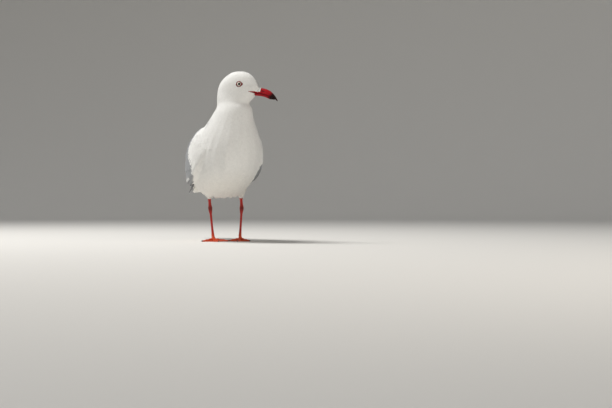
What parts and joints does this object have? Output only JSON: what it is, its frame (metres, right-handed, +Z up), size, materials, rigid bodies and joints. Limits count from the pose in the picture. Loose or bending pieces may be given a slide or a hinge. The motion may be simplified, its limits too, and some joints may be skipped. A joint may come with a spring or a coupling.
{
  "type": "silver gull",
  "caption": "Life-size adult silver gull standing on both feet, wings folded, body facing ahead and head turned to its left.",
  "frame": {"origin": "on the floor, under the middle of the bounding box, wing tips and bill included", "axes": "+Z up; the bird's breast faces -Y and its tail +Y; +X is the bird's left, to which its head is turned"},
  "size_m": [0.1152, 0.294, 0.2563],
  "materials": {
    "white_plumage": "matte, soft white feathers",
    "grey_plumage": "matte, pale silver-grey feathers with narrow pale edges",
    "black_plumage": "satin black flight feathers with white tips",
    "red_bill": "smooth horn, dark red, dusky near the tip",
    "red_leg": "scaly orange-red skin",
    "eye": "wet, white iris with a black pupil",
    "claw": "black horn"
  },
  "bodies": {
    "root": {"head": "white_plumage", "neck": "white_plumage", "trunk": "white_plumage", "tail": "white_plumage", "thigh_left": "white_plumage", "thigh_right": "white_plumage", "wing_left": "grey_plumage", "wing_right": "grey_plumage", "primaries_left": "black_plumage", "primaries_right": "black_plumage", "bill_upper": "red_bill", "bill_lower": "red_bill", "shank_left": "red_leg", "shank_right": "red_leg", "tarsus_left": "red_leg", "tarsus_right": "red_leg", "foot_left": "red_leg", "foot_right": "red_leg", "eye_left": "eye", "eye_right": "eye", "claw_inner_left": "claw", "claw_middle_left": "claw", "claw_outer_left": "claw", "claw_inner_right": "claw", "claw_middle_right": "claw", "claw_outer_right": "claw"}
  },
  "joints": []
}
